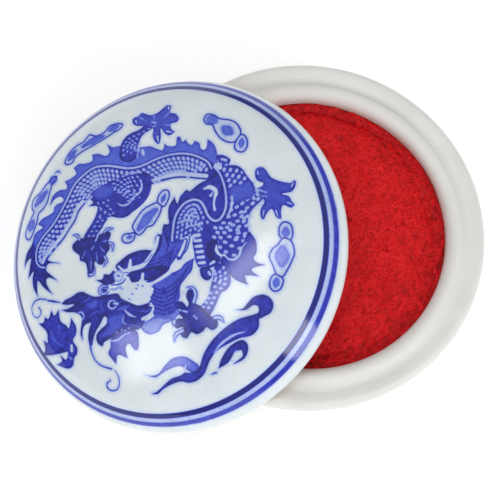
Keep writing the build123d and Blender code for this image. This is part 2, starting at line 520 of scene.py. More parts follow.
wash([
    (-27.4, 7.4), (-27.2, 9), (-26.2, 9.9), (-24.6, 10.3), (-25.8, 11.4, 0), (-24.4, 12.2), (-22.8, 12.4),
    (-21.5, 12.8), (-21.2, 13.7), (-20.2, 14.1), (-19, 14.2), (-18.9, 14.9), (-19.6, 15.5), (-20.9, 15.4),
    (-22.3, 14.3, 0), (-21.8, 15.6), (-21, 16.5), (-19.5, 16.9), (-18, 16.6), (-17.7, 17.3),
    (-18.2, 18.4, 0), (-16.6, 18.6), (-15.3, 19.3), (-15.9, 20.7, 0), (-14.6, 21.2), (-13, 20.8),
    (-11.4, 20.9), (-11.3, 22.3, 0), (-9.8, 22), (-8.2, 21), (-7.3, 21.6), (-7.7, 23.5, 0), (-6.4, 22.4),
    (-4.8, 22.2), (-2.4, 21), (0.2, 20.5), (1.8, 20.2), (3.2, 19.2), (4.3, 18.7), (4.8, 20, 0),
    (5.4, 19.3), (6.6, 18.9), (7.2, 19.2), (7.4, 20.6), (8.1, 20.6), (8.5, 19.4), (9.2, 19.7, 0),
    (9.7, 18.7), (10.4, 18.2), (11, 19, 0), (11.9, 18.2), (12.1, 17), (12.7, 16.5), (13.3, 17),
    (13.6, 18.7, 0), (14.6, 17.6), (15.1, 16.2), (15.2, 14.4), (14.9, 12.4), (13.6, 12), (12.6, 14.2),
    (10, 15.8), (6, 16.8), (2, 16.4), (-2, 16), (-6, 17.4), (-10, 18.8), (-14, 17.6), (-17, 15),
    (-20, 11.4), (-23, 8.8), (-26, 6.6),
], 0.6, pool=0.22)
tell("tail and back fin")

# %% Body from the tail to the shoulder
scale_tip = 0.05
scale_tone = 0.25
scale_fill = 0.78
body_blue = 0.75
look_ahead = 0.3


def place_on(line, run, s):
    """The place reached after s millimetres along a line."""
    return np.array([np.interp(s, run, line[:, 0]), np.interp(s, run, line[:, 1])])


def scales(guide, first, rows, row_gap=0.95, along_gap=1.12, size=(0.72, 0.98), slant=0.5):
    """Leave pale scales in rows beside a guide line, but only where the dark body wash lies."""
    line = curve(guide)
    run = run_along(line)
    for row in range(rows):
        for s in np.arange(along_gap * (0.5 + 0.5 * (row % 2)), run[-1], along_gap):
            here = place_on(line, run, s)
            ahead = place_on(line, run, s + look_ahead) - here
            if not ahead.any():
                continue
            ahead /= np.hypot(*ahead)
            across = np.array([ahead[1], -ahead[0]])
            middle = here + across * (first + row * row_gap)
            if tone_at(*middle) < body_blue:
                continue
            reach = (across * slant + ahead * (1 - slant)) * size[0] * scale_fill
            crisp([middle - reach, middle + reach], [scale_tip, size[1], scale_tip], scale_tone)


wash([
    (-26.6, 3.6), (-25.4, 2.4), (-24, 4), (-22, 5.2), (-20, 6.4), (-18.4, 7.9), (-16.6, 9.4),
    (-15.4, 11.2), (-13.6, 12.5), (-11.4, 13), (-6, 12.6), (0, 12), (4, 12.1), (7, 12), (9.4, 11.3),
    (12.2, 10.4), (14.4, 9.8), (14.6, 12.4), (13.6, 14), (11.6, 15.8), (8, 17.2), (4, 17.4), (0, 16.8),
    (-4, 17.3), (-8, 18.9), (-12, 19.2), (-15, 17.8), (-17.5, 15.2), (-20, 12.2), (-23, 9.6), (-26.2, 7.4),
    (-27.2, 5),
], 0.92, pool=0.05)
belly_left = [
    (-25.2, 2.4), (-24, 3.7), (-22, 5), (-20, 6.2), (-18.3, 7.7), (-16.6, 9.2), (-15.4, 11), (-13.2, 12.6),
]
belly_right = [(1.3, 12.1), (4, 12.2), (6.4, 12.1), (8.6, 11.6), (10.6, 10.9), (13, 10.1)]
for edge, shift in ((belly_left, -0.35), (belly_right, 0)):
    pale_side = [(x + shift, y + 0.62) for x, y in curve(edge)[::5]]
    crisp(pale_side, [0.5, 1.0, 0.9], 0.16)
    brush(edge, 0.32, 0.95)
scales(spine, 1.0, 6, row_gap=0.9)
tell("body")

# %% Neck, right shoulder and thigh
neck_spine = [
    (14.3, 12.4), (15.2, 10.9), (15.7, 9), (15.9, 7), (15.8, 5), (15.4, 3.3), (14.6, 2), (13.6, 1.3),
    (12.6, 1.6), (11.8, 2.8), (11.4, 4.4), (10.8, 5.8), (9.8, 6.5), (8.8, 6.6), (7.6, 6.3), (6.6, 5.6),
    (5.6, 4.5), (4.9, 3.1), (4.4, 1.4), (4, 0), (3.9, -1),
]
wash([
    (14.6, 11), (15.4, 12.6), (15.1, 14.6), (16.4, 14.3), (17.5, 13.1), (17.3, 12), (18.6, 11.5),
    (19.6, 10.4), (20.2, 9), (21.2, 7.2), (21.9, 6.2), (23.4, 6.2), (23.4, 3.9), (21.6, 2.8), (20.2, 1.6),
    (19.5, 0), (19.3, -2), (19.4, -3.4), (18, -4.8), (16.6, -6.4), (15, -7), (13.8, -6), (13, -6.2),
    (12, -7.4), (10.6, -7.6), (9, -8), (7.9, -6), (7.9, -3), (7.6, -0.6), (6, -0.6), (4, -1), (4, 0),
    (4.6, 2.4), (6.2, 5), (8.8, 6.3), (10.6, 5.8), (11.4, 4), (12, 2), (13.6, 0.9), (15.2, 2.2), (16, 4.6),
    (15.8, 8),
], 0.9, pool=0.08)
wash([
    (2.2, 1.6), (2.7, 3.1, 0), (3.8, 3), (3.9, 4.6), (4.3, 6.4), (5.7, 8.1, 0), (6.1, 6.6), (6.9, 7.9),
    (8.3, 9, 0), (9, 8.5), (10.2, 9.2), (11.6, 9.8), (13, 10.1), (14.2, 10.8), (14.8, 11.8), (15.6, 9.6),
    (15.8, 6.4), (15.3, 3.4), (14.4, 1.9), (13.2, 1.4), (12.1, 2.4), (11.5, 4.4), (10.6, 6.1), (9, 6.7),
    (7, 6), (5.4, 4.4), (4.4, 1.8), (4, -0.8), (2.8, -0.8),
], 0.9)
tell("neck, shoulder and thigh")

# %% Scales of the neck and thigh
scales(neck_spine[:8], -1.15, 6, row_gap=-1.0)
scales(neck_spine[8:], -1.0, 6, row_gap=-0.86, along_gap=1.0, slant=0.3, size=(0.75, 0.55))
scales([(12.4, 0.4), (15, -0.2), (17, 0.4), (19, 2.4)], 0.3, 7, row_gap=0.95, slant=0.3)
scales([(21, 5.6), (22.4, 5), (23.4, 4.4)], -0.6, 3, row_gap=0.9)
wash([
    (17, 7.4), (18, 7.7), (19.4, 7.6), (20.6, 8), (21.6, 6.4), (20.9, 4.6), (19, 4.2), (17.2, 4.4),
    (16.7, 5.8),
], 0.66)
crisp([(11.8, 8.3), (13, 8.4), (14, 7.5), (14.1, 6.6)], [0.4, 0.9, 0.9, 0.5], 0.12)
crisp([(14, 6.8), (13.5, 5.6), (13.3, 4.6), (13.3, 3.6)], [0.8, 0.45, 0.4, 0.55], 0.12)
crisp([(13.4, 7.2), (12.9, 6.6)], [0.2, 0.5], 0.12)
tell("scales of the neck and thigh")

# %% Pale line of the spine
for line in (spine, neck_spine):
    crisp(line, [0.85, 0.95, 0.95, 0.8], 0.98)
    crisp(line, [0.35, 0.5, 0.5, 0.42], 0.22)
crisp([(15.6, 1.8), (16.4, 3), (16.9, 4.6), (17, 5.6)], [0.3, 0.55, 0.3], 0.2)
brush([(15.3, 14.6), (16.4, 14.3), (17.5, 13.1), (16.6, 12.6)], 0.3, 0.95)
brush([(17.4, 11.9), (18.6, 11.6), (19.6, 10.6), (20.3, 9), (21.3, 7.2)], 0.3, 0.95)
crisp([(19.2, -2.2), (19.3, -0.6), (19.8, 0.8), (20.6, 1.9), (22, 3), (23.2, 3.9)], [0.35, 0.5, 0.3], 0.2)
crisp([(14.8, 12.6), (15.4, 12)], 1.0, 0.18)
crisp([(16, 13.7), (16.8, 13.3)], 0.5, 0.2)
tell("spine")

# %% [markdown]
# Legs and claws
#
# Each leg is a scaled limb that ends in a spread claw of five toes. The toes are one dark wash,
# and each nail is a pale crescent inside a thin dark line. Every claw has the same nails, so one
# function draws them.

# %% Upper claw
def nails(lines, width=0.42):
    """Pale nails, each a crescent inside a dark line."""
    for line in lines:
        brush(line, [width + 0.3, width + 0.45, 0.3], 0.95)
        crisp(line, [width, width, 0.1], 0.2)


wash([
    (-4.9, 21.5), (-4.3, 23), (-3.2, 24), (-2, 24.4), (-0.5, 24.6), (0.8, 25.3), (1.8, 25.8), (2.8, 24.8),
    (2, 23.9), (0.8, 23.5), (-0.1, 22.8), (-0.5, 21.6), (-0.7, 20.4), (-1.2, 18.8), (-3, 18), (-5, 19.4),
], 0.9)
scales([
    (-4.6, 19.4), (-4.4, 22.2), (-2.8, 23.7), (0, 24.2), (2.4, 24.9),
], 0.45, 5, row_gap=0.85, size=(0.6, 0.45))
crisp([(-1.3, 18.6), (-0.9, 20), (-0.5, 21.6), (0, 22.7), (1.2, 23.5)], [0.2, 0.4, 0.2], 0.2)
crisp([(0, 19.8), (0.2, 18.6)], [0.5, 0.8, 0.3], 0.18)
wash([
    (0.4, 25.2), (-1, 25.7), (-1.8, 26.6), (-1.7, 27.6), (-0.6, 27.8), (0.2, 28.3), (1, 27.9), (2.2, 27.2),
    (3.6, 27.3), (4.8, 28), (5.7, 28.5), (6.6, 28.1), (6.3, 26.7), (7.4, 26.1), (8.1, 24.9), (7.6, 24.1),
    (6.3, 24), (6.5, 22.6), (7.1, 22.1), (6, 21.5), (5, 22.2), (4.2, 23.6), (4.1, 21.6), (3.6, 20.2),
    (2.8, 21), (2.4, 22.4), (2.6, 23.9), (1.6, 24.6),
], 0.72, pool=0.2)
for line in (
    [(-0.4, 27.6), (0.8, 26.4)], [(2.8, 27.2), (2.9, 26)], [(6.4, 26.9), (4.9, 25.7)],
    [(6.4, 23.6), (4.7, 24.4)],
):
    crisp(line, [0.2, 0.3, 0.08], 0.4)
nails([
    [(-1.1, 26.9), (-0.9, 26.1)], [(6.1, 28), (6, 27.2)], [(3.4, 22), (3.5, 20.6)],
    [(5.4, 22.6), (6.6, 22)],
])
crisp([(2.4, 25.6), (3.2, 25.1)], 0.4, 0.3)
crisp([(2.4, 24.5), (3.1, 24.4)], 0.3, 0.35)
tell("upper claw")

# %% Left leg
wash([
    (1.2, 13.6), (1.1, 11.8), (0.2, 9.9), (-1.2, 8.6), (-2.8, 7.7), (-4.2, 6.9), (-5.6, 6.7), (-7, 7.1),
    (-8.4, 7.7), (-9.6, 6.9), (-10.8, 5.6), (-12, 4.2), (-14, 3.4), (-15, 5), (-13.9, 6.4), (-12.6, 7.6),
    (-11.6, 8.9), (-11, 10.6), (-12.9, 11.3, 0), (-11.9, 11.8), (-12.5, 12.6, 0), (-11.8, 13),
    (-12.4, 13.8, 0), (-10, 14.6), (-6, 15.2), (0, 14.8),
], 0.92, pool=0.08)
scales([(-8.4, 12.4), (-7.4, 14.6), (-4, 16), (-0.4, 15.6)], 0.5, 7, row_gap=0.9, size=(0.75, 0.5))
wash([
    (-12.2, 13.9, 0), (-10.4, 14.6), (-8.4, 14.6), (-7.2, 13.6), (-7.8, 12.2), (-9.6, 11.9), (-11.2, 12.4),
], 0.66)
scales([(-11.2, 11.8), (-9.8, 11.4), (-8.2, 11.6)], 0.35, 4, row_gap=1.0, size=(0.7, 0.45))
scales([(-10.6, 10.4), (-11.2, 8.6), (-12.6, 7), (-14.4, 5.2)], -0.55, 4, row_gap=-0.95, size=(0.6, 0.45))
crisp([
    (1, 13.6), (0.6, 11.4), (-0.6, 9.6), (-2.6, 8.4), (-4.8, 7.7), (-6.6, 7.9),
], [0.8, 1.3, 1.5, 1.0], 0.92)
crisp([(-0.9, 13.5), (-0.8, 12.2), (-1.4, 11), (-3, 10.2)], [0.3, 0.5, 0.3], 0.2)
crisp([(-3, 9.9), (-4.2, 9.2), (-5.6, 9.3), (-6.4, 10)], [0.2, 0.5, 0.2], 0.22)
tell("left leg")

# %% Left claw
wash([
    (-17.6, 4.6), (-17.9, 3.6), (-17.2, 2.6), (-16.5, 1.8), (-16.5, 0.8), (-15.4, 0), (-15.2, -1.4),
    (-15.3, -2.9), (-14.4, -3), (-13.6, -2), (-13.2, -0.4), (-12.4, -1.2), (-11.4, -1.3), (-10.6, 0.2),
    (-9.4, 1.4), (-9.5, 2.8), (-8.8, 4), (-9.2, 4.8), (-10.8, 4.8), (-12.6, 4.6), (-14.6, 4.9), (-16, 5.2),
], 0.98)
nails([
    [(-16, 5), (-16.4, 6), (-17.4, 6.4)], [(-10.2, 4.9), (-9.3, 5.3), (-8.1, 5.1)],
    [(-9.4, 2.4), (-8.7, 1.9), (-8.9, 0.6)], [(-10.9, 0), (-10.6, -1), (-11.4, -1.9)],
    [(-14.9, -2.6), (-14, -2.7), (-13.4, -1.6)],
], 0.34)
crisp([(-13.6, 2.2), (-13, 2.7)], 0.3, 0.4)
for line in (
    [(-16, 1), (-14.8, 2.4)], [(-14.4, -1.8), (-13.9, 0.8)], [(-12.7, -0.7), (-12.5, 1.4)],
    [(-10.7, 0.9), (-11.6, 2.2)], [(-9.6, 3), (-11, 3.1)],
):
    crisp(line, [0.2, 0.3, 0.08], 0.45)
crisp([(-12.4, 3.6), (-11.6, 4.8), (-10.8, 5.6)], [0.3, 0.45, 0.25], 0.25)
tell("left claw")

# %% Right claw
wash([
    (22, 8.3), (22.1, 9.8), (22.8, 10.4), (23.7, 10.2), (24.3, 9.2), (24.8, 8), (26, 7), (27.4, 6.3),
    (28.6, 6), (29.3, 6.4), (29.1, 5.2), (28.2, 4.2), (26.4, 4.1), (27.6, 3.4), (28, 2.2), (28.4, 1.5),
    (27.6, 1), (26.3, 1.8), (25.7, 0.6), (25.5, -0.8), (24.7, -0.4), (24.1, 1.4), (23, 0.7), (22.3, -0.3),
    (21.8, 0.2), (22.1, 1.9), (23, 3.2), (22.6, 4.4), (22.9, 6), (23.3, 7), (22.5, 7.5),
], 0.76, pool=0.2)
nails([
    [(22.6, 9), (22.5, 10)], [(28.4, 5.2), (28.9, 6.2)], [(27.2, 2.2), (28.1, 1.5)],
    [(24.8, 1), (25, -0.4)], [(22.6, 1.4), (22.1, 0.1)],
], 0.3)
crisp([(22.8, 5.4), (23.6, 5)], 0.4, 0.35)
crisp([(22.7, 4.4), (23.6, 4.1)], 0.3, 0.4)
tell("right claw")

# %% Lower leg and its fin
wash([
    (18.8, -2.4), (19.6, -3), (20.1, -4.4), (19.8, -6.4), (19, -7.6), (19.6, -8.6), (20.9, -9.2, 0),
    (19, -9.3), (18.2, -9.8), (19.3, -11.2, 0), (17.4, -10.6), (16.7, -10.7), (16.9, -12.4, 0),
    (15, -11.1), (14.2, -10.2), (13.6, -9), (12.6, -7.4), (13.4, -6.2), (15, -6.6), (16.6, -6),
], 0.84)
crisp([
    (13.6, -5.4), (14.2, -6.6), (15.3, -7), (16.4, -6.4), (17.1, -5.2), (18.2, -4.2),
], [0.2, 0.5, 0.5, 0.2], 0.2)
wash([
    (10.2, -4.6), (10.7, -3), (11.9, -2.2), (12.9, -2.9), (12.5, -4.2), (12.8, -5.6), (12.3, -6.7),
    (11.2, -6.5), (10.5, -5.8),
], 1.0)
crisp([(12.5, -3.4), (12.3, -4.6), (12.9, -5.6), (13.8, -5.8)], [0.2, 0.7, 0.5, 0.3], 0.13)
brush([(11.4, -7.2), (12.6, -6.6), (13.4, -6.2)], 0.5, 0.92)
crisp([(10.6, -6.9), (11.4, -6.6)], [0.4, 0.6], 0.16)
for step in range(7):
    y = -0.6 - 1.12 * step
    crisp([(8.4, y), (9.5, y - 0.15)], [0.55, 0.7], 0.17)
tell("lower leg and its fin")

# %% Lower shin
wash([
    (11.6, -7.2), (10.7, -9.4), (9.8, -11.2), (9, -12.8), (8, -13.8), (6.6, -14.8), (6, -16), (7.4, -17),
    (8.8, -16.2), (9.9, -15), (10.8, -13.8), (11.6, -12.8), (12.8, -12.4), (13.8, -11.2), (13.9, -9.4),
    (13.2, -7.6),
], 0.88, pool=0.1)
scales([
    (13, -7.6), (13.2, -9.4), (12.6, -11.4), (10.8, -12.6), (9.4, -14.4), (7.6, -16),
], 0.1, 4, size=(0.8, 0.62))
wash([(8.3, -8), (8.6, -7.2), (9.8, -7.3), (10.6, -8.2), (10.4, -9.4), (9.4, -9.9), (8.5, -9.2)], 0.95)
crisp([(10, -8.4), (10.2, -8.9)], 0.6, 0.25)
tell("lower shin")

# %% Lower claw
wash([
    (2.2, -12.8), (3.2, -12.6), (3.9, -13.2), (4.3, -14), (4.8, -13.4), (4.6, -12), (5.2, -10.9), (6, -11),
    (6.2, -12.4), (6, -13.6), (7, -14.4), (7.8, -15.6), (8.8, -17), (9.6, -17.6), (9.4, -18.9),
    (8.2, -19.4), (7.2, -18.6), (6.4, -19.2), (5, -19.5), (4, -18.9), (2.8, -19.8), (1.8, -19),
    (2.6, -17.6), (1.2, -17.5), (0.9, -16.2), (2, -15.8), (3, -15.9), (2.4, -14.8), (3, -14.2), (2, -13.8),
], 0.94)
nails([
    [(5.8, -13.4), (6.5, -12), (6.2, -10.7), (5.2, -10.3)], [(9.2, -17.2), (10.2, -17.4), (10.8, -18.4)],
    [(2.4, -18.2), (0.9, -18.6), (0.2, -19.8)], [(1.2, -16), (0.8, -16.8)],
], 0.5)
crisp([(3, -14.4), (4, -14.9)], [0.2, 0.45], 0.25)
crisp([(4.2, -10.9), (3.7, -11.6), (3.4, -12.4)], [0.7, 1.1, 0.5], 0.14)
crisp([(5.3, -16), (5.7, -16.6)], 0.5, 0.4)
tell("lower claw")

# %% [markdown]
# Mane, antlers and head
#
# The mane is a mid-blue wash with dark strands drawn through it, swept back from the brow. The
# antlers and brow are bare glaze between dark lines, and the head is a dark mass with the nostril,
# eye and jaw picked out in pale rings. Strands could be placed one by one, but a painter repeats
# one sweep of the wrist, so two loops repeat a stroke and let it drop a little each time.

# %% Mane
wash([
    (-3, -3.6), (-1.4, -2.4), (0.4, -1), (1.6, 0.8), (2.4, 1.6), (3, 0.2), (4, -0.8), (5.6, -0.8),
    (6.4, -1), (6, -2), (4.8, -3.2), (4, -4.2), (2.4, -5.6), (1.2, -6.4), (3.4, -6.8), (5, -6),
    (6.2, -5.4), (7.6, -5.1, 0), (6.8, -7.2), (5.6, -8.2), (4, -9.6), (3.6, -10.6), (3.2, -12), (2, -13.4),
    (1.4, -14.6), (-0.4, -15.4), (-2, -15), (-2.8, -13.6), (-2.4, -12.2), (-3, -10.8), (-2, -9.8),
    (-1.6, -8.4), (-2.6, -7.6), (-2.8, -6.4), (-6.2, -5.6), (-6, -4.6),
], 0.7, pool=0.25)
for step in range(6):
    drop = step * 0.78
    crisp([
        (-2.8 - 0.5 * step, -3.4 - drop), (-0.6, -3.5 - drop * 0.95), (2, -3.2 - drop * 0.75),
        (4.4 - 0.35 * step, -1.9 - drop * 0.75),
    ], [0.2, 0.36, 0.34, 0.2], 0.97)
for step in range(7):
    drop = step * 0.95
    crisp([
        (-2 - 0.1 * step, -8.4 - drop * 0.85), (-0.4, -9.5 - drop * 0.85), (2, -9.3 - drop * 0.8),
        (4.4 - 0.42 * step, -7.9 - drop * 0.88), (6.6 - 0.8 * step, -6.1 - drop),
    ], [0.2, 0.4, 0.36, 0.32, 0.15], 0.97)
crisp([(2.6, 0.6), (3, -1.2), (2.2, -2.6)], [0.2, 0.4, 0.2], 0.97)
wash([
    (-5.9, -15), (-5.7, -16.4), (-4.4, -17.4), (-2.4, -17.2), (-1.2, -16.2), (0.6, -15.9), (2.6, -14.8),
    (2, -13.9), (0, -15), (-2.4, -14.2), (-4, -14.6),
], 0.42, pool=0.3)
tell("mane")

# %% Dark horn shapes, antlers and brow
wash([
    (-8.8, -2.6), (-7.6, -1.8), (-5.6, -1), (-3.6, -0.8), (-1.8, -1), (-0.6, -1.4), (0.2, -0.6),
    (0.6, 0.9), (1.4, 1.4), (2, 0.6), (1.4, -1.2), (0, -2.6), (-1.4, -3.6), (-2.8, -4.4), (-6, -4.6),
    (-8, -4),
], 0.95)
crisp([
    (-7, -4), (-5, -4), (-3, -3.9), (-1.4, -2.8), (0, -1.4), (0.7, -0.2), (1.1, 0.8),
], [0.7, 1.0, 0.9, 0.8, 0.75, 0.7], 0.12)
crisp([(-5.9, -4), (-5.4, -2.2)], [1.1, 0.5], 0.12)
crisp([(-7.3, -3.9), (-8.2, -2.7)], [0.7, 0.4], 0.16)
crisp([(-0.6, -2.2), (-2.2, -3.4), (-2.8, -3.3)], 0.16, 0.7)
wash([
    (-6.6, -4.9), (-4, -4.6), (0, -4.7), (2.2, -5.6), (1, -6.6), (-1, -7.2), (-3.4, -6.9), (-6, -6.6),
    (-7, -5.8),
], 0.97)
wash([
    (-9, -7), (-7.6, -6.4), (-7.2, -5.2), (-6.4, -5.3), (-6, -6.5), (-5, -6.9), (-4, -6.4), (-3.5, -5.3),
    (-3, -5.5), (-3.2, -6.9), (-2, -7.6), (0.2, -7), (2.2, -6.2), (3.6, -5), (4.4, -4), (5, -4.3),
    (4, -5.8), (2.4, -7), (0, -7.8), (-2, -8.3), (-1.7, -9), (-2.2, -9.8), (-4.2, -9.9), (-2.6, -10.6),
    (-3.2, -11.2), (-5, -11.3), (-6.2, -10.6), (-8, -10), (-9, -8.8),
], 0.09, pool=0.03)
crisp([
    (-8.8, -9.2), (-7.6, -10.2), (-5.6, -11.5), (-3.4, -11.5), (-2.2, -10.6),
], [0.2, 0.3, 0.3, 0.25], 0.95)
for x, y in ((-4.8, -7.4), (-5.3, -8), (-3.9, -7.8), (-6.4, -8.8), (-7.2, -9.6)):
    crisp([(x, y), (x + 0.15, y - 0.1)], 0.3, 0.6)
brush([(4.7, -4.2), (5.4, -3.2), (6.2, -2), (6.6, -1.2)], [1.0, 1.15, 0.9], 0.95)
crisp([(4.8, -3.8), (5.5, -2.9), (6.2, -1.8), (6.5, -1.2)], [0.6, 0.7, 0.5], 0.14)
crisp([(3.8, -6.6), (5.2, -5.8), (6.4, -4.4), (7.4, -2.4), (7.9, -0.8)], [0.3, 0.8, 0.9, 0.7, 0.5], 0.1)
crisp([(3.4, -6.9), (4.6, -6.6), (5.8, -5.7), (7.6, -5.2)], [0.2, 0.26, 0.26], 0.9)
crisp([(5, -4.5), (5.6, -3.8), (6.4, -3.2), (7.2, -1.8), (7.6, -0.6)], 0.26, 0.9)
tell("antlers and brow")

# %% Head
wash([
    (-22.6, -6.5, 0), (-21.6, -6), (-20, -5.8), (-18.4, -5.4), (-17, -5.6), (-15.8, -6.5), (-14.6, -7.2),
    (-13, -7.5), (-11, -7.7), (-9.4, -8), (-8.6, -9.6), (-7.2, -10.4), (-5.6, -11.4), (-3.6, -11.5),
    (-2.6, -12.2), (-3.2, -13.4), (-4.6, -14.2), (-5.8, -15.6), (-7.4, -15.8), (-9.6, -15.5),
    (-11.6, -15.7), (-13.4, -16.1), (-14.6, -16.4), (-15.2, -17), (-16.1, -16.1), (-16, -14.7),
    (-14.8, -13.8), (-13.2, -13.1), (-12.8, -12), (-13.4, -11.6), (-14.6, -12.8), (-16, -14), (-17, -15.4),
    (-17.5, -16.3), (-18, -15), (-17.4, -13.2), (-16.6, -12), (-18, -12), (-18.9, -13), (-19.3, -14.8, 0),
    (-19.5, -13.4), (-18.9, -11.8), (-18.4, -10.6), (-18.9, -9.6), (-20, -8.9), (-21.4, -8.5),
    (-22.8, -7.7, 0), (-21, -7.8), (-19.6, -7.4), (-21.4, -7),
], 0.95)
tell("head")

# %% Snout and jaw
wash([
    (-16.4, -8.2), (-15.4, -7.8), (-14.3, -8), (-14.2, -8.9), (-15, -9.6), (-16.2, -9.2),
], 0.66, pool=0.1)
wash([
    (-12.6, -12.2), (-9.6, -11.8), (-9, -12.6), (-9.6, -14), (-11.4, -15), (-14.2, -15.4), (-15.4, -15.6),
    (-15, -14.8), (-13.2, -14),
], 0.7, pool=0.1)
wash([(-10.4, -11), (-8.8, -10.6), (-7.4, -10.9), (-8.6, -11.5)], 0.6, pool=0.1)
crisp([(-18.9, -9.3), (-18.2, -9.4), (-17.9, -10.2), (-18.2, -10.8)], [0.3, 0.42, 0.3], 0.3)
crisp([(-17.6, -7.6), (-16.6, -7.4), (-15.4, -6.9)], [0.1, 0.28, 0.1], 0.6)
crisp([(-16.6, -10.6), (-15, -10.2), (-13.6, -10.6)], [0.1, 0.3, 0.1], 0.66)
crisp([(-13.2, -8.4), (-13.6, -9.4), (-13.2, -10.6)], [0.1, 0.3, 0.1], 0.62)
crisp([(-8.6, -11.5), (-7.8, -12.6), (-6.6, -13.4)], [0.3, 0.62, 0.2], 0.24)
crisp([(-9.1, -12.6), (-9.5, -13.6), (-9, -14.2)], [0.25, 0.5, 0.3], 0.4)
crisp([(-8.2, -14.6), (-7, -15), (-6.2, -15.6)], [0.1, 0.24, 0.1], 0.6)
crisp([(-5.2, -12.6), (-4, -12.9), (-3, -12.4)], [0.2, 0.3, 0.2], 0.66)
crisp([
    (-5.2, -14.1), (-4, -13.9), (-3, -13.3), (-2.5, -12.3), (-3.2, -11.9),
], [0.7, 0.75, 0.6, 0.5, 0.3], 0.14)
tell("snout and jaw")

# %% Beard and teeth
wash([
    (-12.6, -15.9), (-13.4, -17.6), (-14.2, -18.8), (-13.1, -21.1, 0), (-12.2, -19.5), (-10.3, -20.6, 0),
    (-10.2, -18.6), (-9.2, -18), (-8.4, -19.4), (-7.6, -19.4), (-7, -17.6), (-7, -16.2), (-8.6, -15.6),
], 0.78, pool=0.2)
crisp([(-13.8, -16.4), (-11.6, -16.7), (-9.8, -16.1), (-8.4, -16)], [0.2, 0.4, 0.35, 0.2], 0.22)
for x, y in ((-11.4, -15.3), (-10.3, -15.1), (-9.5, -15.4), (-8.6, -15.2)):
    crisp([(x, y), (x + 0.25, y + 0.15)], [0.34, 0.2], 0.35)
tell("beard and teeth")

# %% Ears and eyes
wash([
    (-13.6, -4.1, 0), (-12.2, -4.3), (-11.6, -3.5), (-10.4, -3.8), (-9.4, -3.3), (-9, -4.4), (-9.6, -5.6),
    (-10.8, -5.8), (-12, -5.4),
], 0.95)
wash([(-9.6, -4.2), (-8.8, -3.5), (-7.6, -3.8), (-7.4, -5), (-8.2, -5.9), (-9.4, -5.5)], 0.12, pool=0.25)
crisp([(-8.7, -4.5), (-8.4, -4.7)], 0.36, 0.75)
crisp([(-10.4, -6), (-9.2, -6.2), (-8, -6.2), (-7.2, -5.6)], [0.2, 0.3, 0.25], 0.9)
crisp([(-10.6, -6.8), (-9.6, -7), (-8.8, -6.8), (-8.2, -7.4)], [0.5, 0.6, 0.4], 0.35)
eye_width = 0.95
for x, y in ((-12.3, -6.45), (-11, -9.75)):
    circle = round_line(x, y, eye_width, eye_width * 0.85, 0.6, 6.2)
    brush(circle, 0.75, 0.97)
    crisp(circle, [0.2, 0.4, 0.4, 0.2], 0.22)
    crisp([(x - 0.1, y), (x + 0.15, y - 0.1)], 0.62, 1.0)
crisp([(-11.3, -6.9), (-10.9, -5.9)], 0.45, 0.2)
crisp([(-10.6, -9.6), (-9.8, -9.9)], 0.5, 0.25)
tell("ears and eyes")

# %% Whiskers
brush([(-22.8, -6.1), (-24, -5.6), (-25.8, -4.8)], [0.15, 0.42, 0.3], 0.95)
brush([
    (-26.2, -4.5), (-27.5, -4), (-28.8, -4), (-29.8, -4.6), (-30.2, -5.6), (-29.9, -6.8), (-29.1, -7.4),
    (-28.3, -7.1), (-27.9, -6.4), (-28.3, -5.5),
], [0.28, 0.3, 0.22, 0.2, 0.26], 0.8)
brush([
    (-17.8, -15.6), (-17.9, -17.5), (-17.4, -19.4), (-16.2, -20.7), (-14.4, -21.7),
], [0.5, 0.3, 0.24, 0.3, 0.36], 0.85)
brush([
    (-13.7, -22.3), (-13.3, -23.4), (-13.5, -24.8), (-14.3, -25.7), (-15.5, -25.7), (-16.3, -25),
    (-16.2, -24.1), (-15.3, -23.8),
], [0.16, 0.26, 0.3, 0.26], 0.85)
tell("whiskers")

# %% [markdown]
# From the painted sheet to the lid
#
# The lid is a thick domed shell, so the sheet has to become the top of a closed body. The blue
# lives on the mesh itself, as a number at each corner, and no picture is wrapped round it. So that
# the mesh stays light, a point of the sheet is kept only where the blue bends most, and the flat
# ground keeps a coarse net. Rings turned round the axis then carry the skin down the wall, round
# the rim and back over the inside of the dome.

# %% Points where the blue bends
most_points = 86000
coarse = 6
near_edge = 0.12
always_kept = 99.0
flat = 1e-3
bend = np.zeros_like(cobalt)
middle = cobalt[1:-1, 1:-1]
bend[1:-1, 1:-1] = abs(cobalt[2:, 1:-1] + cobalt[:-2, 1:-1] - 2 * middle)
bend[1:-1, 1:-1] += abs(cobalt[1:-1, 2:] + cobalt[1:-1, :-2] - 2 * middle)
inside = np.hypot(sheet_x, sheet_y) < sheet_radius - near_edge
bend[::coarse, ::coarse] = always_kept
bend *= inside
least = np.partition(bend.ravel(), -most_points)[-most_points]
chosen = (bend >= max(least, flat)) & inside
print("kept", chosen.sum(), "points of the sheet's", cobalt.size)

# %% A skin over the points
round_steps = 240
weld = 1e-6


def disc(x, y, radius):
    """Triangles over points in a disc. Gives the places, the triangles and the outer ring."""
    angles = np.arange(round_steps) * 2 * math.pi / round_steps
    x = np.concatenate([x, radius * np.cos(angles)])
    y = np.concatenate([y, radius * np.sin(angles)])
    made = geometry.delaunay_2d_cdt(list(zip(x.tolist(), y.tolist())), [], [], 0, weld)
    places = np.array([tuple(p) for p in made[0]])
    faces = np.array(made[2])
    a, b, c = (places[faces[:, i]] for i in range(3))
    turn = (b[:, 0] - a[:, 0]) * (c[:, 1] - a[:, 1]) - (b[:, 1] - a[:, 1]) * (c[:, 0] - a[:, 0])
    faces[turn < 0] = faces[turn < 0][:, ::-1]
    outer = np.flatnonzero(np.hypot(*places.T) > radius - near_edge / 2)
    outer = outer[np.argsort(np.arctan2(places[outer, 1], places[outer, 0]))]
    return places, faces, outer


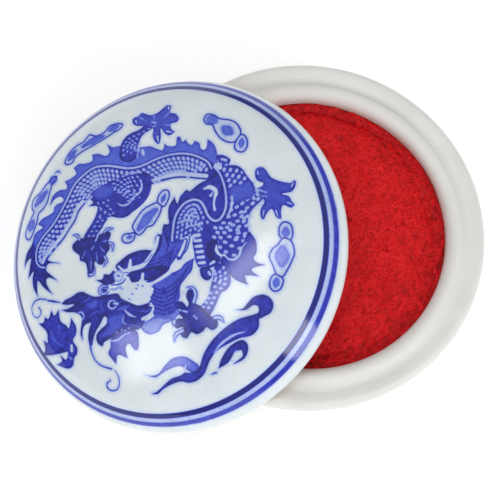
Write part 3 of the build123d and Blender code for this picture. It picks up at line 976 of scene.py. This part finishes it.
sheet_places, lid_faces, rim_ring = disc(sheet_x[chosen], sheet_y[chosen], sheet_radius)
print("skin of", len(sheet_places), "points and", len(lid_faces), "triangles")

# %% Turned rings
def turn_rings(places, faces, ring, profile):
    """Carry a skin on through rings (radius, height), and close it at the axis."""
    faces = [tuple(f) for f in faces.tolist()]
    angles = np.arctan2(places[ring, 1], places[ring, 0])
    below = list(ring)
    for radius, height in profile[:-1]:
        first = len(places)
        heights = np.full(len(ring), height)
        row = np.stack([radius * np.cos(angles), radius * np.sin(angles), heights], 1)
        places = np.vstack([places, row])
        row = list(range(first, first + len(ring)))
        faces += list(zip(below, row, row[1:] + row[:1], below[1:] + below[:1]))
        below = row
    places = np.vstack([places, [0, 0, profile[-1][1]]])
    faces += [(a, len(places) - 1, b) for a, b in zip(below, below[1:] + below[:1])]
    return places, faces


def arc(centre, radius, start, end, count):
    """Places on an arc of a profile, angles in radians from the outward direction."""
    angles = np.linspace(start, end, count)
    return [(centre[0] + radius * math.cos(a), centre[1] + radius * math.sin(a)) for a in angles]


print("each turned ring has", len(rim_ring), "points")

# %% Lid's profile
lid_low, lid_high = (np.array(corner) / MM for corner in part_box("lid"))
lid_radius = (lid_high[1] - lid_low[1]) / 2
wall_height = 1.3
wall_blend = 3.0
shoulder_radius = 9.5
shoulder_tilt = math.radians(13.2)
crown_radius = 87.7
lid_thickness = 3.2
rim_round = 0.5
mouth_radius = 32.2
quarter = math.pi / 2

shoulder_r = lid_radius - shoulder_radius * math.cos(shoulder_tilt)
shoulder_z = wall_height - shoulder_radius * math.sin(shoulder_tilt)
crown_z = shoulder_z - math.sqrt((crown_radius - shoulder_radius) ** 2 - shoulder_r**2)
crown_meets = math.acos(shoulder_r / (crown_radius - shoulder_radius))
blend_r = lid_radius - wall_blend
blend_z = shoulder_z + math.sqrt((shoulder_radius - wall_blend) ** 2 - (blend_r - shoulder_r) ** 2)
blend_angle = math.atan2(blend_z - shoulder_z, blend_r - shoulder_r)
sheet_angle = math.acos((sheet_radius - shoulder_r) / shoulder_radius)
inner_radius = shoulder_radius - lid_thickness
mouth_angle = math.acos((mouth_radius - shoulder_r) / inner_radius)
outer_edge = (lid_radius - rim_round, rim_round)
mouth_edge = (mouth_radius + rim_round, rim_round)

lid_profile = arc((shoulder_r, shoulder_z), shoulder_radius, sheet_angle, blend_angle, 4)[1:]
lid_profile += arc((blend_r, blend_z), wall_blend, blend_angle, 0, 4)[1:]
lid_profile += arc(outer_edge, rim_round, 0, -quarter, 5)
lid_profile += arc(mouth_edge, rim_round, -quarter, -2 * quarter, 5)
lid_profile += arc((shoulder_r, shoulder_z), inner_radius, mouth_angle, crown_meets, 7)
lid_profile += arc((0, crown_z), crown_radius - lid_thickness, crown_meets, quarter, 9)[1:]
print("lid is", round(2 * lid_radius, 2), "mm across, its profile has", len(lid_profile), "rings")

# %% Lid's shell
def dome_height(r):
    """Height of the dome's skin over the rim, at a distance from its axis."""
    crown = crown_z + np.sqrt(crown_radius**2 - r**2)
    past = np.clip(r - shoulder_r, 0, shoulder_radius)
    shoulder = shoulder_z + np.sqrt(shoulder_radius**2 - past**2)
    return np.where(r < crown_radius * math.cos(crown_meets), crown, shoulder)


skin_r = np.hypot(*sheet_places.T)
skin = np.column_stack([sheet_places, dome_height(skin_r)])
shell, lid_faces = turn_rings(skin, lid_faces, rim_ring, lid_profile)
print("shell is", round(shell[:, 2].max(), 2), "mm high with", len(lid_faces), "faces")

# %% [markdown]
# How the lid leans
#
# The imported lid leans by 25.10 degrees: its low edge is on the table and its rim lies across the
# base. The shell is made level, so it is turned by the same angle, and then moved until it fills
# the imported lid's own box. No other place is measured for it.

# %% Lean
lean = math.radians(25.10)
edge_centre = lid_radius - rim_round
furthest = [r * math.cos(lean) + z * math.sin(lean) for r, z in lid_profile]
furthest += [np.max(skin_r * math.cos(lean) + skin[:, 2] * math.sin(lean))]
rim_middle = np.array([
    lid_low[0] + max(furthest), 0,
    lid_low[2] + edge_centre * math.sin(lean) + rim_round * (1 - math.cos(lean)),
])
lean_turn = np.array([
    [math.cos(lean), 0, -math.sin(lean)],
    [0, 1, 0],
    [math.sin(lean), 0, math.cos(lean)],
])
print("the middle of the lid's rim is at", rim_middle.round(2), "mm")

# %% [markdown]
# Cobalt under glaze
#
# The glaze is glass on white porcelain: sharp reflections over a soft bluish white. The cobalt
# lies below it, so it changes the colour and never the gloss. Its colour runs from pale blue where
# the wash is thin to navy where it pooled, with a slight mottle from the brush. The rim that
# touches the base is wiped free of glaze before firing, which leaves it matt and creamy. Its clay
# has a grit far finer than a pixel, so the grit is drawn coarser here, to show as a dull tooth.

# %% Bare clay
clay_grit = 0.25
clay_cloud = 1.1


def lumps_of(size_mm):
    """Scale of a noise pattern whose lumps have a real size."""
    return 1 / (size_mm * MM)


def bare_clay(tree, spot):
    """Fired white clay without glaze: creamy, matt and a little gritty."""
    grit = node(tree, "TexNoise", {"Vector": spot, "Scale": lumps_of(clay_grit)})
    tooth = node(tree, "Bump", {"Height": grit, "Strength": 0.4, "Distance": 0.05 * MM})
    cloud = node(tree, "TexNoise", {"Vector": spot, "Scale": lumps_of(clay_cloud)})
    cream = node(tree, "Mix", {0: cloud, 6: linear("e6ddcb"), 7: linear("d6c9b2")}, data_type="RGBA")
    return node(tree, "BsdfPrincipled", {
        "Base Color": cream.outputs[2], "Roughness": 0.75, "Normal": tooth,
    })


print("clay grit is drawn", clay_grit, "mm wide")

# %% Cobalt-painted porcelain
wash_size = 1.4
brush_size = 0.45
crawl_size = 7.0
ripple_size = 2.4
painted_porcelain, tree = new_material("cobalt_painted_porcelain")
spot = node(tree, "TexCoord").outputs["Object"]
blue = node(tree, "Attribute", attribute_name="cobalt").outputs["Fac"]
clay = node(tree, "Attribute", attribute_name="bare_clay").outputs["Fac"]

wash_cloud = node(tree, "TexNoise", {"Vector": spot, "Scale": lumps_of(wash_size), "Detail": 3.0})
brush_mark = node(tree, "TexNoise", {"Vector": spot, "Scale": lumps_of(brush_size)})
mottle = node(tree, "Math", {0: wash_cloud, 1: brush_mark}, operation="ADD")
mottle = node(tree, "Math", {0: mottle, 1: 1.0}, operation="SUBTRACT")
mottle = node(tree, "Math", {0: mottle, 1: blue}, operation="MULTIPLY")
amount = node(tree, "Math", {0: mottle, 1: 0.3, 2: blue}, operation="MULTIPLY_ADD")
inks = node(tree, "ValToRGB", {"Fac": amount}, stops=(
    (0.0, "dbe2e5"), (0.12, "c2cee5"), (0.3, "8da0e1"), (0.6, "485ccf"), (0.85, "2832b0"),
    (0.96, "1a1f96"), (1.0, "131672"),
))
crawl = node(tree, "TexNoise", {"Vector": spot, "Scale": lumps_of(crawl_size)})
cast = node(tree, "ValToRGB", {"Fac": crawl}, stops=((0.35, "f6f9f8"), (0.65, "ffffff")))
under_glaze = node(tree, "Mix", {0: 1.0, 6: inks, 7: cast}, data_type="RGBA", blend_type="MULTIPLY")
ripple = node(tree, "TexNoise", {"Vector": spot, "Scale": lumps_of(ripple_size)})
pull = node(tree, "Bump", {"Height": ripple, "Strength": 0.03, "Distance": 0.1 * MM})
glaze = node(tree, "BsdfPrincipled", {
    "Base Color": under_glaze.outputs[2], "Roughness": 0.07, "IOR": 1.56, "Normal": pull,
})
surface = node(tree, "MixShader", {0: clay, 1: glaze, 2: bare_clay(tree, spot)})
node(tree, "OutputMaterial", {"Surface": surface})

# %% Lid piece
def mesh_piece(name, points, faces, material):
    """A smooth mesh object from places in millimetres."""
    mesh = bpy.data.meshes.new(name)
    mesh.from_pydata((points * MM).tolist(), [], faces)
    mesh.shade_smooth()
    mesh.validate()
    piece = bpy.data.objects.new(name, mesh)
    bpy.context.scene.collection.objects.link(piece)
    mesh.materials.append(material)
    return piece


def put_number(mesh, name, values):
    """Store one number at each point of a mesh."""
    layer = mesh.attributes.new(name, "FLOAT", "POINT")
    layer.data.foreach_set("value", np.asarray(values, np.float32))


lid = mesh_piece("painted_lid", shell @ lean_turn.T + rim_middle, lid_faces, painted_porcelain)
skin_blue = [tone_at(x, y) for x, y in sheet_places]
put_number(lid.data, "cobalt", skin_blue + [0.0] * (len(shell) - len(skin_blue)))
wiped_height = 1.1 * rim_round
wiped_radius = lid_radius - 0.1 * rim_round
near_rim = (shell[:, 2] < wiped_height) & (np.hypot(*shell[:, :2].T) < wiped_radius)
put_number(lid.data, "bare_clay", near_rim)
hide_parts("lid")
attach(lid, "lid")
print("lid has", len(lid.data.polygons), "faces")

# %% [markdown]
# Seal paste
#
# Seal paste is cinnabar red pigment in castor oil, bound with fine plant fibre, so it looks like
# oily felt. It could be a flat disc with a bump texture, but its edge and its cracks would stay
# flat, so the strands are real relief. Thousands of short strands are laid on a fine net, each at
# its own level, the higher over the lower. Near the wall they follow it, as the spatula leaves
# them. Short cracks in patches and an uneven trough along the wall are then pressed in.

# %% A fine net over the paste
chance = np.random.default_rng(7)
paste_low, paste_high = (np.array(corner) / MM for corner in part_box("seal_paste"))
paste_radius = (paste_high[0] - paste_low[0]) / 2
paste_top = paste_high[2]
mound = 1.4
net_pitch = 0.172
net_steps = int(paste_radius / net_pitch) + 3
net_mm = np.arange(-net_steps, net_steps + 1) * net_pitch
net_x, net_y = np.meshgrid(net_mm, net_mm, indexing="ij")
net_r = np.hypot(net_x, net_y)
net_bearing = np.arctan2(net_y, net_x)
print("paste is", round(2 * paste_radius, 2), "mm across, its net has", net_x.size, "points")

# %% Blurs and swells
shortest_swell = 0.7
longest_swell = 1.4


def soften(field, times=1):
    """Blur a field a little, as much as one step of the net each time."""
    for _ in range(times):
        field = (np.roll(field, 1, 0) + 2 * field + np.roll(field, -1, 0)) / 4
        field = (np.roll(field, 1, 1) + 2 * field + np.roll(field, -1, 1)) / 4
    return field


def lumps(count, size, rise):
    """Smooth swells of about one size, from a few crossing waves."""
    total = np.zeros_like(net_x)
    for _ in range(count):
        way, phase = chance.uniform(0, 2 * math.pi, 2)
        wave = 2 * math.pi / (size * chance.uniform(shortest_swell, longest_swell))
        total += np.cos(wave * (net_x * math.cos(way) + net_y * math.sin(way)) + phase)
    return rise * total / math.sqrt(count)


print("swells vary from", shortest_swell, "to", longest_swell, "times their size")

# %% Strands
free_within = 0.55
turning_zone = 0.35
wall_wander = 0.22
bend_spread = 0.16
tightest_turn = 4


def strands(count, length, level, wander):
    """Short bent strands at random places. Gives the highest level laid on each net point."""
    laid = np.zeros_like(net_x)
    r = paste_radius * np.sqrt(chance.uniform(0, 1, count))
    bearing = chance.uniform(-math.pi, math.pi, count)
    near_wall = (r - free_within * paste_radius) / (turning_zone * paste_radius)
    near_wall = np.clip(near_wall, 0, 1)
    spread = wander * (1 - near_wall) + wall_wander
    heading = bearing + math.pi / 2 + chance.normal(0, 1, count) * spread
    bend = chance.normal(0, bend_spread, count) + near_wall / np.maximum(r, tightest_turn)
    x, y = r * np.cos(bearing), r * np.sin(bearing)
    reach = chance.uniform(*length, count)
    height = chance.uniform(*level, count)
    stride = net_pitch / 2
    for step in range(int(length[1] / stride)):
        going = step * stride < reach
        i = np.clip(np.rint(x[going] / net_pitch).astype(int) + net_steps, 0, 2 * net_steps)
        j = np.clip(np.rint(y[going] / net_pitch).astype(int) + net_steps, 0, 2 * net_steps)
        np.maximum.at(laid, (i, j), height[going])
        x, y = x + np.cos(heading) * stride, y + np.sin(heading) * stride
        heading = heading + bend * stride
    return laid


print("strands follow the wall from", round((free_within + turning_zone) * paste_radius, 1), "mm out")

# %% Felt, clumps and cracks
strand_count = 20000
crack_count = 170
felt_floor = 0.4
felt = strands(strand_count, length=(0.8, 2.6), level=(0.2, 1.0), wander=1.3)
felt = soften(np.maximum(felt, felt_floor))
clumps = lumps(14, size=1.7, rise=0.5)
cracks = soften(strands(crack_count, length=(0.7, 2.2), level=(0.5, 1.0), wander=0.9), 2)
cracks = cracks * np.clip(lumps(8, size=9.0, rise=0.9) + 0.1, 0, 1.3)
print("felt's mean level is", round(float(felt.mean()), 2), "of 1, with", crack_count, "cracks tried")

# %% Trough along the wall
wall_gap = paste_radius - net_r
trough_place = 2.1 + 0.5 * np.sin(3 * net_bearing + 1.0) + 0.3 * np.sin(7 * net_bearing)
trough_depth = 0.22 + 0.2 * np.sin(2 * net_bearing - 0.4) + 0.14 * np.sin(5 * net_bearing + 2.0)
least_depth = 0.08
trough_width = 0.7
trough = np.exp(-((wall_gap - trough_place) / trough_width) ** 2)
trough = np.maximum(trough_depth, least_depth) * trough
climb_width = 0.9
climb = (0.2 + 0.12 * np.cos(net_bearing)) * np.exp(-wall_gap / climb_width)
# Towards the wall the paste is rougher in relief and also painted darker, as painted shade.
rough_zone = 9.0
rough_shaded_edge = np.clip(1 - wall_gap / rough_zone, 0, 1) ** 1.5
print("trough is", least_depth, "to", round(float(trough.max()), 2), "mm deep")

# %% Height and shade of the paste
strand_relief = 0.36
crack_depth = 0.5
clump_rise = 0.04
edge_clump_rise = 0.12
clump_shade = 0.05
edge_clump_shade = 0.22
edge_shade = 0.27
trough_shade = 0.4
crack_shade = 0.9
paste_height = paste_top - mound * (net_r / paste_radius) ** 2 - strand_relief
paste_height += strand_relief * felt + lumps(9, size=11.0, rise=0.16) + lumps(9, size=4.0, rise=0.07)
paste_height += climb - trough - crack_depth * cracks
paste_height += clumps * (clump_rise + edge_clump_rise * rough_shaded_edge)
# Painted shade: the red is lighter on high strands and clumps, and darker in cracks, in the trough and
# towards the wall.
depth_shade = felt + clumps * (clump_shade + edge_clump_shade * rough_shaded_edge)
depth_shade -= edge_shade * rough_shaded_edge + trough_shade * trough + crack_shade * cracks
depth_shade = np.clip(depth_shade, 0, 1)
print("paste relief", round(float(paste_height[net_r < paste_radius].std()), 2), "mm about its mean")

# %% [markdown]
# Oil and pigment
#
# The pigment gives a strong red, and painted shade makes it deeper between the strands, in the cracks, in
# the trough and near the wall, where less light comes out.
# The oil wets every strand, so the gloss is fairly sharp, but the fibres break it up: its level is
# set under half of what oil of IOR 1.47 alone would mirror, or the red would look dusty. A real
# fibre is a few hundredths of a millimetre thick. It is drawn about two pixels wide here, because
# anything finer would not show.

# %% Castor-oil seal paste
fine_fibre = 0.36
cloud_size = 5.0
oily_paste, tree = new_material("cinnabar_seal_paste")
spot = node(tree, "TexCoord").outputs["Object"]
# This attribute carries the paste's painted shade into its red.
painted_paste_shade = node(tree, "Attribute", attribute_name="painted_paste_shade").outputs["Fac"]
fibre = node(tree, "TexNoise", {"Vector": spot, "Scale": lumps_of(fine_fibre), "Detail": 3.0})
patch = node(tree, "TexNoise", {"Vector": spot, "Scale": lumps_of(cloud_size)})
shade = node(tree, "Math", {0: fibre, 1: 1.5, 2: painted_paste_shade}, operation="MULTIPLY_ADD")
patch = node(tree, "Math", {0: patch, 1: 0.4, 2: -1.0}, operation="MULTIPLY_ADD")
shade = node(tree, "Math", {0: shade, 1: patch}, operation="ADD")
reds = node(tree, "ValToRGB", {"Fac": shade}, stops=(
    (0.0, "940004"), (0.3, "b20107"), (0.62, "d2050b"), (1.0, "ec1a22"),
))
fuzz = node(tree, "Bump", {"Height": fibre, "Strength": 0.9, "Distance": 0.4 * MM})
oil = node(tree, "BsdfPrincipled", {
    "Base Color": reds, "IOR": 1.47, "Specular IOR Level": 0.22, "Roughness": 0.3, "Normal": fuzz,
})
node(tree, "OutputMaterial", {"Surface": oil})

# %% Skin of the paste
wall_clear = 0.02
top_radius = paste_radius - wall_clear
within = net_r < top_radius - near_edge
top_places, paste_faces, wall_ring = disc(net_x[within], net_y[within], top_radius)


def on_net(field, x, y):
    """Read a field of the net between its points."""
    u, v = x / net_pitch + net_steps, y / net_pitch + net_steps
    i, j = np.floor(u).astype(int), np.floor(v).astype(int)
    u, v = u - i, v - j
    low = field[i, j] * (1 - u) + field[i + 1, j] * u
    high = field[i, j + 1] * (1 - u) + field[i + 1, j + 1] * u
    return low * (1 - v) + high * v


top_heights = on_net(paste_height, *top_places.T)
top_painted_shade = on_net(depth_shade, *top_places.T)
print("paste's top has", len(top_places), "points, the highest at", round(top_heights.max(), 2), "mm")

# %% Paste piece
corner_radius = 6.95
wall_start = 3.0
hidden_painted_shade = 0.4
corner_z = paste_low[2] + wall_clear + corner_radius
paste_profile = [(top_radius, paste_low[2] + corner_radius + wall_start)]
paste_profile += arc((top_radius - corner_radius, corner_z), corner_radius, 0, -quarter, 6)
paste_profile += [(0, paste_low[2] + wall_clear)]
paste_skin = np.column_stack([top_places, top_heights])
paste_places, paste_faces = turn_rings(paste_skin, paste_faces, wall_ring, paste_profile)
paste = mesh_piece("red_seal_paste", paste_places, paste_faces, oily_paste)
# The hidden wall of the paste gets one even painted shade.
hidden = np.full(len(paste_places) - len(top_places), hidden_painted_shade)
put_number(paste.data, "painted_paste_shade", np.concatenate([top_painted_shade, hidden]))
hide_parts("seal_paste")
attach(paste, "base")
print("paste has", len(paste.data.polygons), "faces")

# %% [markdown]
# White porcelain of the base
#
# The base is the same white clay under a thinner, softer glaze that scatters what it mirrors, so
# it shows broad gradients and no sharp stripes. Its white is faintly warm and uneven, and a few
# specks of iron in the clay came up brown in the kiln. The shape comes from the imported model, and
# only its finish is made here. The foot ring is wiped bare where the base stands.

# %% Satin white porcelain
bloom_size = 9.0
grain_size = 0.7
satin_porcelain, tree = new_material("satin_white_porcelain")
spot = node(tree, "TexCoord").outputs["Object"]
bloom = node(tree, "TexNoise", {"Vector": spot, "Scale": lumps_of(bloom_size)})
white = node(tree, "ValToRGB", {"Fac": bloom}, stops=((0.35, "d9d9d3"), (0.65, "e0dfda")))
grain = node(tree, "TexNoise", {"Vector": spot, "Scale": lumps_of(grain_size)})
grain = node(tree, "Math", {0: grain, 1: 0.35}, operation="MULTIPLY")
white = node(tree, "Mix", {0: grain, 6: white, 7: linear("dad9d2")}, data_type="RGBA").outputs[2]

# %% Iron specks
speck_spacing = 7.0
speck_size = 0.16
specked_share = 0.3
speck_depth = 0.55
cells = node(tree, "TexVoronoi", {"Vector": spot, "Scale": lumps_of(speck_spacing)})
middle_of_cell = {0: cells.outputs["Distance"], 1: speck_size / speck_spacing}
speck = node(tree, "Math", middle_of_cell, operation="LESS_THAN")
few = node(tree, "SeparateColor", {0: cells.outputs["Color"]}).outputs["Red"]
few = node(tree, "Math", {0: few, 1: specked_share}, operation="LESS_THAN")
few = node(tree, "Math", {0: few, 1: speck_depth}, operation="MULTIPLY")
speck = node(tree, "Math", {0: speck, 1: few}, operation="MULTIPLY")
white = node(tree, "Mix", {0: speck, 6: white, 7: linear("6b5a48")}, data_type="RGBA").outputs[2]
print("specks are", speck_size, "mm in radius, about", speck_spacing, "mm apart, in few places")

# %% Finish of the base
wave_size = 3.5
bare_height = 0.35
wave = node(tree, "TexNoise", {"Vector": spot, "Scale": lumps_of(wave_size)})
wave = node(tree, "Bump", {"Height": wave, "Strength": 0.04, "Distance": 0.1 * MM})
satin = node(tree, "BsdfPrincipled", {
    "Base Color": white, "Roughness": 0.42, "IOR": 1.5, "Normal": wave,
})
above_foot = node(tree, "SeparateXYZ", {0: spot}).outputs["Z"]
bare = node(tree, "Math", {0: above_foot, 1: bare_height * MM}, operation="LESS_THAN")
surface = node(tree, "MixShader", {0: bare, 1: satin, 2: bare_clay(tree, spot)})
node(tree, "OutputMaterial", {"Surface": surface})
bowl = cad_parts["bowl"]
bowl.data.materials.clear()
bowl.data.materials.append(satin_porcelain)
print("base finished in", satin_porcelain.name, "and bare below", bare_height, "mm")

# %% [markdown]
# Soft lamps that the glaze mirrors
#
# Glaze mirrors about a twentieth of what it faces, so a bright lamp shows on the dome as a pale
# veil over the painting. A lamp hung by eye would throw its veil anywhere, so each one here is
# placed backwards. The line along which its veil lies on the real lid is read on the lid's plan,
# the camera's sight is mirrored in the dome there, and the room is lit where those lines go. The
# lamps are soft-edged patches of the room's own light: a hard rim would cut the painting in two.

# %% Where the lid mirrors
def mirrored(x, y):
    """Direction of the light that a place on the lid's plan sends to the camera."""
    r, height = math.hypot(x, y), float(dome_height(np.hypot(x, y)))
    if r < crown_radius * math.cos(crown_meets):
        outward = np.array([x, y, height - crown_z])
    else:
        past = (r - shoulder_r) / r
        outward = np.array([x * past, y * past, height - shoulder_z])
    outward = outward / np.linalg.norm(outward) @ lean_turn.T
    seen = (np.array([x, y, height]) @ lean_turn.T + rim_middle) * MM
    sight = seen - np.array(camera_place)
    sight /= np.linalg.norm(sight)
    return Vector(sight - 2 * (sight @ outward) * outward)


print("the lid's middle mirrors the room towards", [round(x, 2) for x in mirrored(0.0, 0.01)])

# %% Lamps
least_ahead = 0.01
lamps = {
    "left_lamp": dict(start=(25, -5), end=(8.5, -17), side=(12.3, -9.8), radiance=4.6),
    "low_lamp": dict(start=(-12, -20.5), end=(2, -20.5), side=(-5, -15.7), radiance=4.6),
    "rim_lamp": dict(
        start=(23.0, -23.2), end=(24.55, -24.98), side=(20.3, -26.2), radiance=4.8, softness=0.2,
    ),
}


def soft_lamp(start, end, side, radiance, softness=0.4):
    """Light the room where the lid mirrors it along a line, from start to end, out to a side."""
    start, end, side = mirrored(*start), mirrored(*end), mirrored(*side)
    towards = (start + end).normalized()
    along = (end - start).normalized()
    over = towards.cross(along)
    half_length = (end - start).length / (start + end).length
    half_width = abs(side @ over / (side @ towards))
    ahead = node(room_tree, "VectorMath", {0: facing, 1: towards}, operation="DOT_PRODUCT")
    ahead = {0: ahead.outputs["Value"], 1: least_ahead}
    ahead = node(room_tree, "Math", ahead, operation="MAXIMUM")
    glow = radiance
    for way, half in ((along, half_length), (over, half_width)):
        off = node(room_tree, "VectorMath", {0: facing, 1: way}, operation="DOT_PRODUCT")
        off = node(room_tree, "Math", {0: off.outputs["Value"], 1: ahead}, operation="DIVIDE")
        off = node(room_tree, "Math", {0: off}, operation="ABSOLUTE")
        fade = node(room_tree, "MapRange", {
            "Value": off, "From Min": half * (1 - softness), "From Max": half * (1 + softness),
            "To Min": 1.0, "To Max": 0.0,
        }, interpolation_type="SMOOTHSTEP")
        glow = node(room_tree, "Math", {0: fade, 1: glow}, operation="MULTIPLY")
    spans = [round(2 * math.degrees(math.atan(half))) for half in (half_length, half_width)]
    return glow, spans


strength = room_glow
for name, lamp in lamps.items():
    glow, spans = soft_lamp(**lamp)
    strength = node(room_tree, "Math", {0: strength, 1: glow}, operation="ADD")
    print(name, "is", spans[0], "by", spans[1], "degrees")
room_tree.links.new(strength.outputs[0], sky.inputs["Strength"])
